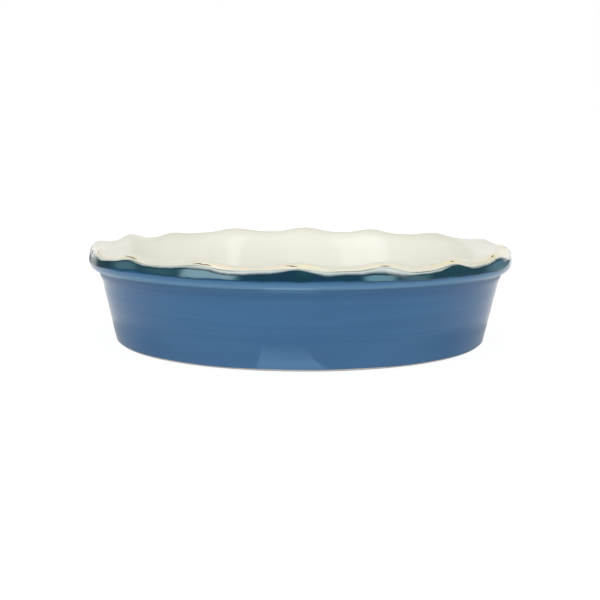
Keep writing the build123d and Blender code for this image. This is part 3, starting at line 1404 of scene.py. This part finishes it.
@dataclass
class TealCoat(Coat):
    """The dark brushed band on the outer half of the lip, tapering out at its border."""

    beyond: float = 5.0
    taper: float = 15.0
    outer_rows: int = 34
    under_rows: int = 9

    def build(self) -> None:
        """Puts in the teal coat's piece."""
        top = self.form.cream_border(AROUND) + self.beyond
        degrees = top * down_rows(0.0, 1.0, self.outer_rows)
        outer = self.form.lip(degrees, self.thickness((top - degrees) / self.taper))
        inner = self.form.lip(top * down_rows(0.0, 1.0, self.under_rows)[:-1], -self.sunk)
        rings = joined(outer, inner.turned_over())
        self.put_on("teal_coat", rings, Slot.TEAL, "teal_rim_glaze")


@dataclass(frozen=True)
class StrokeFinish:
    """Iron-brown brushwork that burns out to tan where the brush ran dry."""

    brown: Tint = tint("40301e")
    tan: Tint = tint("a08250")
    dry: Noise = (160.0, 3.0, 0.65)
    dry_span: Span = (0.48, 0.72)
    grain: Noise = (1500.0, 2.0, 0.7)
    grain_span: Span = (0.4, 0.7)
    grain_most: float = 0.4
    bumps: Noise = (1200.0, 2.0, 0.6)
    bump_height: float = 0.00004
    gloss: float = 0.18

    def material(self) -> bpy.types.Material:
        """Goes from brown to tan by the larger of two noises, dry patches and grain.

        Returns:
            The strokes' material.
        """
        made, b = new_finish("brown_brushwork")
        place = b.place()
        dry = b.vary(b.cloud(place, *self.dry), *self.dry_span)
        grain = b.vary(b.cloud(place, *self.grain), *self.grain_span, 0.0, self.grain_most)
        colour = b.blend(b.larger(dry, grain), self.brown, self.tan)
        b.glaze(colour, self.gloss, b.times(b.cloud(place, *self.bumps), self.bump_height))
        return made


@dataclass
class Strokes:
    """Short pointed dashes, brushed along the lip over the cream.

    Each dash has the ruffle count and lip degrees of both its ends, and its width in
    metres. The front ones are listed and two more are scattered on each top
    at the back, where the spans give the least and most of what is drawn for each.
    """

    form: DishForm
    finish: StrokeFinish
    dashes: tuple[tuple[float, float, float, float, float], ...] = (
        (0.36, 62.0, 0.50, 56.5, 0.0006),
        (0.47, 43.0, 0.57, 41.0, 0.0006),
        (1.44, 54.0, 1.57, 47.5, 0.0005),
        (-0.59, 56.5, -0.47, 52.5, 0.0006),
        (-0.51, 53.0, -0.38, 49.5, 0.0006),
        (-1.69, 70.0, -1.38, 54.5, 0.0007),
        (2.42, 60.0, 2.48, 58.0, 0.0006),
        (3.29, 65.0, 3.40, 67.0, 0.0009),
        (-2.47, 68.0, -2.40, 44.0, 0.0006),
        (4.26, 76.0, 4.36, 74.0, 0.0008),
    )
    scattered_on: tuple[int, int] = (5, 12)
    start_span: Span = (-0.22, 0.02)
    length_span: Span = (0.08, 0.2)
    height_span: Span = (54.0, 78.0)
    tilt_span: Span = (-5.0, 5.0)
    width_span: Span = (0.0005, 0.0009)
    seed: int = 11
    proud: float = 0.00012
    sunk: float = 0.0002
    tip: float = 0.01
    wavering: float = 0.2
    wander: float = 1.2
    stations: int = 20
    sides: int = 8

    def runs(self) -> np.ndarray:
        """Draws the scattered dashes, each value evenly between its span's two ends.

        Returns:
            All the dashes, one a row, with those placed by hand first.
        """
        draw = np.random.default_rng(self.seed)
        first, last = self.scattered_on
        ruffle = np.repeat(np.arange(first, last + 1), 2) + 0.5
        start, length, height, tilt, width = (
            draw.uniform(*span, len(ruffle)) for span in (
                self.start_span, self.length_span, self.height_span, self.tilt_span, self.width_span,
            )
        )
        start = ruffle + start
        scattered = np.stack([start, height, start + length, height + tilt, width], -1)
        # All the dashes, one a row, with the listed ones first.
        return np.concatenate([np.array(self.dashes), scattered])

    def points(self) -> np.ndarray:
        """Carries an ellipse along each dash.

        Its half width is half the dash's, times the square root of the sine of the
        share of the way along, and it wavers a little, as its middle wanders by a slow
        wave. It stands proud of the lip by a little and is sunk into it by more.

        Returns:
            Points by dash, station, side and x, y, z.
        """
        run = self.runs()[:, :, None, None]
        share = np.linspace(self.tip, 1 - self.tip, self.stations)[:, None]
        taper = np.sqrt(np.sin(np.pi * share)) * (1 + self.wavering * np.sin(9 * share + run[:, 0] * 7))
        ring = 2 * np.pi * np.arange(self.sides) / self.sides
        u = run[:, 0] + (run[:, 2] - run[:, 0]) * share
        middle = run[:, 1] + (run[:, 3] - run[:, 1]) * share
        middle = middle + self.wander * np.sin(5 * share + run[:, 0] * 3)
        across = np.degrees(run[:, 4] / 2 / self.form.sizes.lip_crown) * taper * np.cos(ring)
        up = np.sin(ring) * np.where(np.sin(ring) > 0, self.proud, self.sunk) * taper
        rings = self.form.lip(middle + across, up)
        return self.form.points(rings, np.broadcast_to(u, rings.r.shape))

    def build(self) -> None:
        """Puts in the strokes' piece."""
        mesh = shell("brown_strokes", self.points(), Closing.POLES)
        mesh.materials.append(self.finish.material())
        put_in(object_of(mesh), None)


@dataclass(frozen=True)
class Lamp:
    """A soft rectangular lamp that faces the dish, in degrees as seen from it.

    Azimuth goes from the front to the right, and a glow of 1 is white. A mirrored
    lamp only shows in the glaze, and one that is not only lights the dish.
    """

    name: str
    azimuth: float
    elevation: float
    wide: float
    tall: float
    glow: float
    mirrored: bool = True
    distance: float = 1.6

    def hang(self, place: Matrix) -> None:
        """Hangs the lamp, with a power of 4 times its glow times its area.

        Args:
            place: Where it hangs and how it is turned.
        """
        data = bpy.data.lights.new(self.name, "AREA")
        data.shape = "RECTANGLE"
        data.size = 2 * self.distance * math.tan(math.radians(self.wide / 2))
        data.size_y = 2 * self.distance * math.tan(math.radians(self.tall / 2))
        data.energy = 4 * self.glow * data.size * data.size_y
        hung = bpy.data.objects.new(self.name, data)
        hung.matrix_world = place
        hung.visible_glossy = self.mirrored
        hung.visible_diffuse = not self.mirrored
        bpy.context.scene.collection.objects.link(hung)


@dataclass(frozen=True)
class Studio:
    """The plain studio: pale floor, white backdrop, soft lamps and the camera.

    Spans on the floor are distances from the dish's axis, or places along Y where
    they are below 0.
    """

    lens: float = 66.1
    sensor: float = 36.0
    clips: Span = (0.01, 50.0)
    distance: float = 0.759
    aim: tuple[float, float, float] = (0.0, 0.0, 0.0253)
    camera_turn: float = 1.5
    camera_height: float = 7.87
    camera_roll: float = 0.33
    lamps: tuple[Lamp, ...] = (
        Lamp("left_softbox", -46.0, 26.0, 31.0, 54.0, 1.3),
        Lamp("right_strip", 50.5, 25.0, 9.0, 48.0, 1.3),
        Lamp("right_card", 57.0, 8.0, 9.0, 18.0, 0.8),
        Lamp("front_fill", 0.0, 21.0, 56.0, 34.0, 1.30, mirrored=False),
        Lamp("left_fill", -62.0, 10.0, 40.0, 36.0, 1.08, mirrored=False),
        Lamp("right_fill", 62.0, 10.0, 40.0, 36.0, 0.98, mirrored=False),
    )
    floor_r: float = 8.0
    floor_corners: int = 64
    floor_drop: float = 0.0001
    floor_tint: Tint = tint("f2f2f2")
    floor_white: float = 1.12
    floor_share: float = 0.8
    share_span: Span = (0.25, 0.8)
    # painted shadow beside the foot, in the floor's mirrored glow
    floor_before: float = 0.95
    floor_shadow_beside: float = 0.5
    # painted shadow near the dish, in the floor's mirrored glow
    beside_span: Span = (-0.125, -0.08)
    floor_shadow_near: float = 0.89
    floor_far: float = 1.05
    far_span: Span = (0.2, 0.33)
    foot_span: Span = (0.145, 0.165)
    table_left: float = 0.07
    table_half: float = 0.33
    table_front: float = 0.25
    table_skew: float = 0.30
    table_blur: float = 0.06
    past_table: float = 0.12
    glare_x: Span = (-0.0025, -0.009)
    glare_near: float = -0.126
    glare_depth: float = 0.024
    glare_half: Span = (0.0215, 0.018)
    glare_soft: float = 0.0015
    glare_starts: Span = (-0.35, 0.2)
    glare_ends: Span = (1.0, 0.3)
    glare_tint: Tint = (0.95, 1.6, 2.0, 1.0)
    backdrop_height: float = 15.0
    backdrop_edge: Span = (0.70, 0.80)
    surround: float = 1.0
    overhead: float = 0.54
    dark_side: float = 0.10

    def towards(self, azimuth: float, elevation: float) -> Vector:
        """The direction from the dish, in degrees from the front and from level."""
        a, e = math.radians(azimuth), math.radians(elevation)
        return Vector((math.sin(a) * math.cos(e), -math.cos(a) * math.cos(e), math.sin(e)))

    def facing(self, azimuth: float, elevation: float, distance: float) -> Matrix:
        """A place away from the aim, turned to look at it.

        Args:
            azimuth: Degrees from the front to the right.
            elevation: Degrees above level.
            distance: Metres from the aim.

        Returns:
            The place and turn, as a matrix.
        """
        back = self.towards(azimuth, elevation)
        turn = (-back).to_track_quat("-Z", "Y").to_matrix().to_4x4()
        return Matrix.Translation(Vector(self.aim) + back * distance) @ turn

    def camera(self) -> None:
        """The camera at the photograph's place, turned a little on its own axis."""
        data = bpy.data.cameras.new("studio_camera")
        data.lens, data.sensor_width = self.lens, self.sensor
        data.clip_start, data.clip_end = self.clips
        camera = bpy.data.objects.new("studio_camera", data)
        roll = Matrix.Rotation(math.radians(self.camera_roll), 4, "Z")
        camera.matrix_world = self.facing(self.camera_turn, self.camera_height, self.distance) @ roll
        bpy.context.scene.collection.objects.link(camera)
        bpy.context.scene.camera = camera

    def world(self) -> None:
        """Light that is softer overhead, seen as white, and mirrored white in the backdrop."""
        world = bpy.data.worlds.new("studio_surround")
        world.use_nodes = True
        b = Bench(world.node_tree)
        behind = tuple(self.towards(180.0, self.backdrop_height))
        way = b.put("TexCoord").outputs["Generated"]
        off = b.put("VectorMath", {0: way, 1: behind}, operation="DOT_PRODUCT").outputs["Value"]
        backdrop = b.vary(off, *self.backdrop_edge, self.dark_side, 1.0)
        around = b.choose(b.split(way)["Z"], self.surround, self.overhead)
        straight, mirrored = b.seen()
        strength = b.choose(straight, b.choose(mirrored, around, backdrop), 1.0)
        back = b.put("Background", {"Color": WHITE, "Strength": strength})
        b.join(back.outputs[0], b.put("OutputWorld").inputs["Surface"])
        bpy.context.scene.world = world

    def glare_mask(self, b: Bench, place: Wire) -> bpy.types.NodeSocket:
        """The patch of glare before the dish's foot, which narrows away from it.

        Args:
            b: The floor's bench.
            place: The place on the floor.

        Returns:
            1 on the patch and 0 off it.
        """
        split = b.split(place)
        out = b.times(b.less(self.glare_near, split["Y"]), 1 / self.glare_depth)
        half, middle = (
            b.choose(b.vary(out, 0.0, 1.0), *ends) for ends in (self.glare_half, self.glare_x)
        )
        off = b.sum("ABSOLUTE", b.less(split["X"], middle))
        side = b.vary(b.less(off, half), self.glare_soft, -self.glare_soft)
        return b.times(side, b.times(b.vary(out, *self.glare_starts), b.vary(out, *self.glare_ends)))

    def past_mask(self, b: Bench, place: Wire) -> bpy.types.NodeSocket:
        """The floor past the table's front and its sides, which lie askew and to the left.

        Args:
            b: The floor's bench.
            place: The place on the floor.

        Returns:
            1 past the table and 0 on it.
        """
        split = b.split(place)
        side = b.scaled(split["Y"], -self.table_skew, split["X"])
        side = b.less(b.sum("ABSOLUTE", b.plus(side, self.table_left)), self.table_half)
        front = b.less(-self.table_front, split["Y"])
        return b.vary(b.larger(side, front), 0.0, self.table_blur)

    def floor(self) -> None:
        """A wide pale floor that looks white and keeps the dish's shadow."""
        mesh = bpy.data.meshes.new("studio_floor")
        count = self.floor_corners
        turns = np.linspace(0, 2 * np.pi, count, endpoint=False)
        x, y = self.floor_r * np.cos(turns), self.floor_r * np.sin(turns)
        edge = np.stack([x, y, np.full(count, -self.floor_drop)], -1)
        mesh.from_pydata(edge.tolist(), [], [list(range(count))])
        material, b = new_finish("studio_floor")
        place = b.place()
        r = b.put("VectorMath", {0: place}, operation="LENGTH").outputs["Value"]
        straight, mirrored = b.seen()
        # painted shadow in the glaze: the floor's mirrored glow is dimmer near the dish and beside its
        # foot, and dark past the table
        foot = b.vary(b.split(place)["Y"], *self.beside_span, self.floor_before, self.floor_shadow_beside)
        shine = b.vary(r, *self.far_span, self.floor_shadow_near, self.floor_far)
        shine = b.choose(b.vary(r, *self.foot_span), foot, shine)
        shine = b.choose(self.past_mask(b, place), shine, self.past_table)
        strength = b.choose(straight, shine, self.floor_white)
        sheen = b.blend(self.glare_mask(b, place), BLACK, self.glare_tint)
        colour = b.blend(1.0, b.blend(straight, sheen, BLACK), strength, "ADD")
        share = b.vary(r, *self.share_span, self.floor_share, 1.0)
        share = b.times(b.larger(straight, mirrored), share)
        matt = b.put("BsdfDiffuse", {"Color": self.floor_tint})
        white = b.put("Emission", {"Color": colour, "Strength": 1.0})
        mixed = b.put("MixShader", {0: share, 1: matt.outputs[0], 2: white.outputs[0]})
        b.join(mixed.outputs[0], b.put("OutputMaterial").inputs["Surface"])
        mesh.materials.append(material)
        object_of(mesh)

    def build(self) -> None:
        """Sets up the whole studio."""
        self.camera()
        self.world()
        self.floor()
        for lamp in self.lamps:
            lamp.hang(self.facing(lamp.azimuth, lamp.elevation, lamp.distance))
        bpy.context.scene.view_settings.view_transform = "Standard"
        log.info("studio ready: %d lamps", len(self.lamps))


def main() -> None:
    """Builds the studio and the dish, piece by piece."""
    logging.basicConfig(level=logging.INFO, format="%(name)s: %(message)s")
    Studio().build()
    form, effects = DishForm(), Effects()
    FiredBody(form, BodyFinish(effects)).build()
    BlueCoat(form, CoatFinish("blue_glaze", effects)).build()
    TealCoat(form, CoatFinish("teal_glaze", effects)).build()
    Strokes(form, StrokeFinish()).build()


if __name__ == "__main__":
    main()
